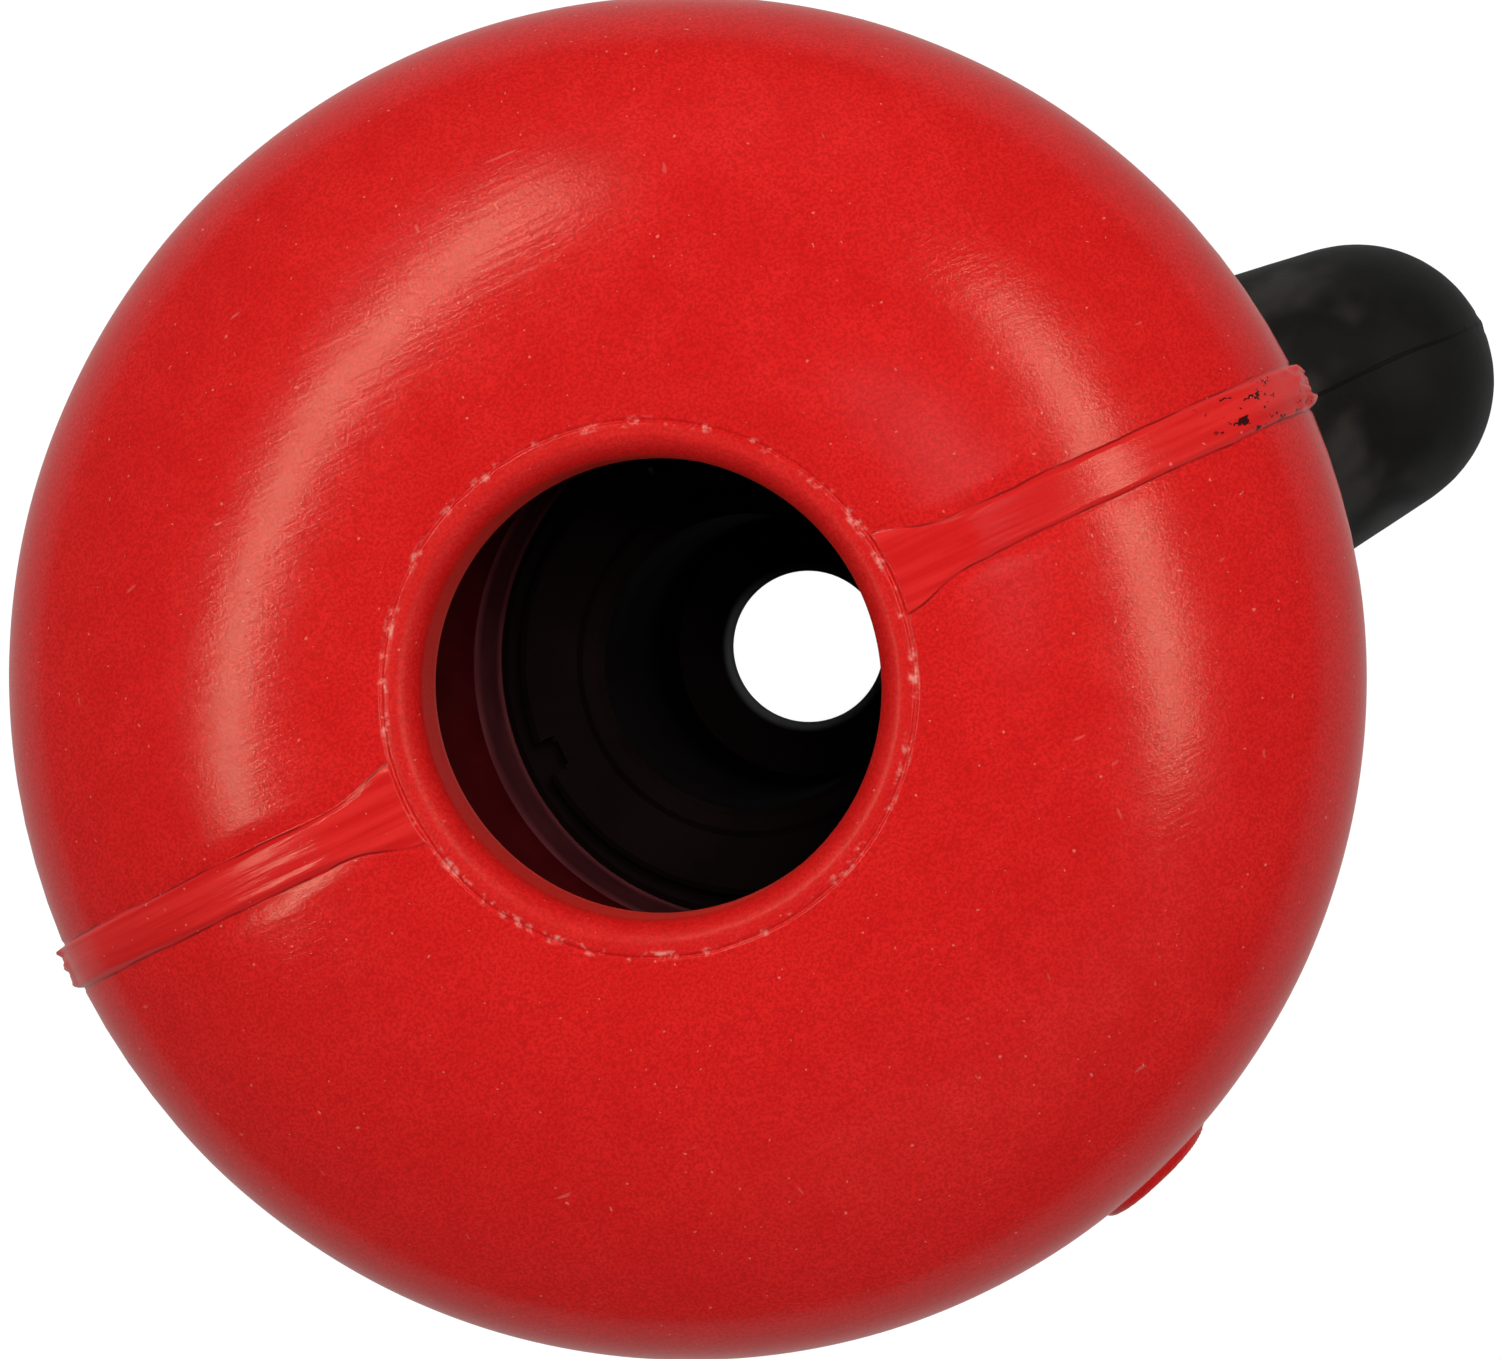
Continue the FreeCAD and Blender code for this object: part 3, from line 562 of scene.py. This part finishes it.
rear_cast = cup_mesh(fine=3, columns=300, with_pad=False)
for vert in rear_cast.verts:
    vert.co.z = mouth_height - vert.co.z
bmesh.ops.reverse_faces(rear_cast, faces=rear_cast.faces)
finished_piece("rear_cup_moulding", rear_cast, [red_rubber, painted_inner_shade, painted_pocket_reflection],
               "cups", "rear_cup")

# ---- Grip jacket ------------------------------------------------------------------------------------
# One-piece black rubber grip moulded over the core: a sleeve round the hub that runs out smoothly into
# two flattened arms with round ends. Its mould closed on the same plane as the cups' seams.
jacket_low, jacket_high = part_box("handle_jacket")
arm_radius = (jacket_high[2] - jacket_low[2]) / 2 / mm
arm_end = jacket_high[0] / mm
waist_height = (jacket_high[2] + jacket_low[2]) / 2 / mm
sleeve_radius = jacket_high[1] / mm
seat_radius = 24.0
arm_spread = math.radians(8.2)


def black_rubber_material():
    black = Shader("black_rubber")
    x, y, z = black.split(black.place)
    grain = black.noise(4200, 2, 0.6)
    mottle = black.noise(180, 4, 0.6)
    scuff = black.range(black.noise(240, 3, 0.6, stretch=(1, 0.25, 1)), 0.66, 0.82)
    tone = black.mix(black.range(mottle, 0.3, 0.7), (0.0050, 0.0050, 0.0052, 1), (0.0085, 0.0085, 0.0088, 1))
    tone = black.mix(black.product(scuff, 0.25), tone, (0.028, 0.027, 0.027, 1))
    out = black.math("ABSOLUTE", x)
    # Painted highlight: soft grey patches on the arms near the cups, for lamp light caught where the arms
    # curve.
    near_cup = black.product(black.range(out, 64 * mm, 55 * mm), black.range(out, 44 * mm, 52 * mm))
    painted_highlight = black.product(near_cup, black.range(black.noise(150, 2, 0.5), 0.42, 0.66))
    tone = black.mix(black.product(painted_highlight, 0.45), tone, (0.060, 0.056, 0.056, 1))
    wander = black.range(black.noise(60, 1), 0.2, 0.8, -0.25 * mm, 0.25 * mm)
    from_line = black.math("ABSOLUTE", black.math("ADD", y, wander))
    mould_line = black.range(from_line, 0.22 * mm, 0.10 * mm)
    tone = black.mix(black.product(mould_line, 0.75), tone, (0.0015, 0.0015, 0.0015, 1))
    black.bump([(grain, 0.00003), (mottle, 0.00004), (mould_line, 0.00005)])
    return black.finish(tone, black.range(mottle, 0.2, 0.8, 0.48, 0.60), specular=0.16)


black_rubber = black_rubber_material()


def arm_hull(way):
    """Hull of a ball at the arm's end and two balls at its root, which spread the arm towards the hub."""
    arm = bmesh.new()
    end = arm_end - arm_radius
    for across, out in ((0, end), (-end * math.tan(arm_spread), 0), (end * math.tan(arm_spread), 0)):
        bmesh.ops.create_uvsphere(arm, u_segments=64, v_segments=48, radius=arm_radius,
                                  matrix=Matrix.Translation((way * out, across, waist_height)))
    bmesh.ops.delete(arm, geom=list(arm.edges), context="EDGES_FACES")
    hull = bmesh.ops.convex_hull(arm, input=arm.verts)
    inside = {item for item in hull["geom_interior"] + hull["geom_unused"]
              if isinstance(item, bmesh.types.BMVert)}
    bmesh.ops.delete(arm, geom=list(inside), context="VERTS")
    return arm


def mesh_object(name, cast):
    mesh = bpy.data.meshes.new(name)
    cast.to_mesh(mesh)
    cast.free()
    item = bpy.data.objects.new(name, mesh)
    bpy.context.collection.objects.link(item)
    return item


def drum(name, radius, half):
    cast = bmesh.new()
    bmesh.ops.create_cone(cast, cap_ends=True, segments=160, radius1=radius, radius2=radius, depth=half * 2,
                          matrix=Matrix.Translation((0, 0, waist_height)))
    return mesh_object(name, cast)


def combined(base, tool, operation):
    change = base.modifiers.new("combine", "BOOLEAN")
    change.operation = operation
    change.object = tool
    change.solver = "EXACT"


def modified_mesh(item):
    """Bake an object's modifiers into a fresh bmesh."""
    graph = bpy.context.evaluated_depsgraph_get()
    cast = bmesh.new()
    cast.from_mesh(bpy.data.meshes.new_from_object(item.evaluated_get(graph)))
    return cast


sleeve = drum("sleeve", sleeve_radius, arm_radius)
arms = [mesh_object(f"arm_{way}", arm_hull(way)) for way in (1, -1)]
for arm in arms:
    combined(sleeve, arm, "UNION")
remesh = sleeve.modifiers.new("even_out", "REMESH")
remesh.mode = "VOXEL"
remesh.voxel_size = 0.62
soften = sleeve.modifiers.new("soften", "SMOOTH")
soften.factor = 0.5
soften.iterations = 14
softened = mesh_object("softened", modified_mesh(sleeve))
bore = drum("bore", seat_radius, arm_radius + 4)
combined(softened, bore, "DIFFERENCE")
jacket = modified_mesh(softened)
for spare in (sleeve, bore, softened, *arms):
    bpy.data.objects.remove(spare)
jacket.normal_update()
for vert in jacket.verts:
    if math.hypot(vert.co.x, vert.co.y) < seat_radius + 0.3:
        continue
    ridge = 0.10 * math.exp(-(vert.co.y / 0.35) ** 2) - 0.05 * math.exp(-((abs(vert.co.y) - 0.8) / 0.3) ** 2)
    vert.co += vert.normal * (ridge + 0.05 * noise.noise(vert.co * 0.11))
for face in jacket.faces:
    face.smooth = True
finished_piece("grip_jacket", jacket, [black_rubber], "handle", "handle_jacket")

# ---- Metal and plastic pieces -----------------------------------------------------------------------
# Turned and pressed pieces inside the waist keep their shapes from the design: black anodised axle, nut,
# plates and core, dull zinc spacers and shields, ground bearing steel, nylon cages, blackened rings.


def turned_metal(name, dark, light, low_rough, high_rough, metallic, specular=0.5, painted_halo=0.0):
    """Lathe-turned metal: fine rings round the axle, with a little handling haze.

    Its last argument sets how much the edge of the small hole through the axle's head is lightened with a
    painted halo, which stands for the light table's glow and its reflection on the hole's rounded edge.
    """
    metal = Shader(name)
    x, y, z = metal.split(metal.place)
    radius = metal.math("SQRT", metal.math("ADD", metal.product(x, x), metal.product(y, y)))
    rings = metal.nodes.new("ShaderNodeCombineXYZ")
    metal.links.new(radius, rings.inputs[0])
    metal.links.new(z, rings.inputs[2])
    lathe = metal.noise(2600, 2, 0.5, place=rings.outputs[0])
    haze = metal.noise(120, 4, 0.6)
    tone = metal.mix(metal.range(haze, 0.3, 0.7), dark, light)
    # Lighter grey ring round the small hole in the axle's head: a painted halo of the light table's glow and
    # its reflection on the hole's rounded edge.
    tone = metal.mix(metal.range(radius, 8.4 * mm, 7.5 * mm, 0.0, painted_halo), tone, (0.40, 0.41, 0.43, 1))
    metal.bump([(lathe, 0.00001)])
    rough = metal.range(haze, 0.2, 0.8, low_rough, high_rough)
    return metal.finish(tone, rough, metallic=metallic, specular=specular)


def nylon_material():
    nylon = Shader("cage_plastic")
    cloud = nylon.noise(300, 3, 0.5)
    tone = nylon.mix(nylon.range(cloud, 0.3, 0.7), (0.60, 0.55, 0.45, 1), (0.70, 0.66, 0.56, 1))
    nylon.bump([(nylon.noise(2500, 2), 0.00001)])
    nylon.surface.inputs["Subsurface Weight"].default_value = 0.1
    return nylon.finish(tone, nylon.range(cloud, 0.2, 0.8, 0.4, 0.55))


finishes = {
    # The black aluminium's faint red tint is painted light: red light bounced from the cups' inner walls.
    "black_aluminium": turned_metal("black_aluminium", (0.010, 0.0052, 0.0054, 1),
                                    (0.015, 0.0080, 0.0082, 1), 0.65, 0.8, 0.0, specular=0.05, painted_halo=0.8),
    "zinc_steel": turned_metal("zinc_steel", (0.42, 0.43, 0.45, 1), (0.55, 0.56, 0.58, 1), 0.32, 0.5, 1.0),
    "bearing_steel": turned_metal("bearing_steel", (0.55, 0.55, 0.57, 1), (0.68, 0.68, 0.70, 1),
                                  0.10, 0.22, 1.0),
    "spring_steel": turned_metal("spring_steel", (0.02, 0.02, 0.022, 1), (0.04, 0.04, 0.045, 1),
                                 0.35, 0.5, 0.6),
    "cage_plastic": nylon_material(),
    "red_rubber": red_rubber,
    "black_rubber": black_rubber,
}
slot_of = {part["node"]: part["material_slot"] for part in frame["record"]["subparts"]}
for node, piece in frame["nodes"].items():
    piece.data.materials.clear()
    piece.data.materials.append(finishes[slot_of[node]])
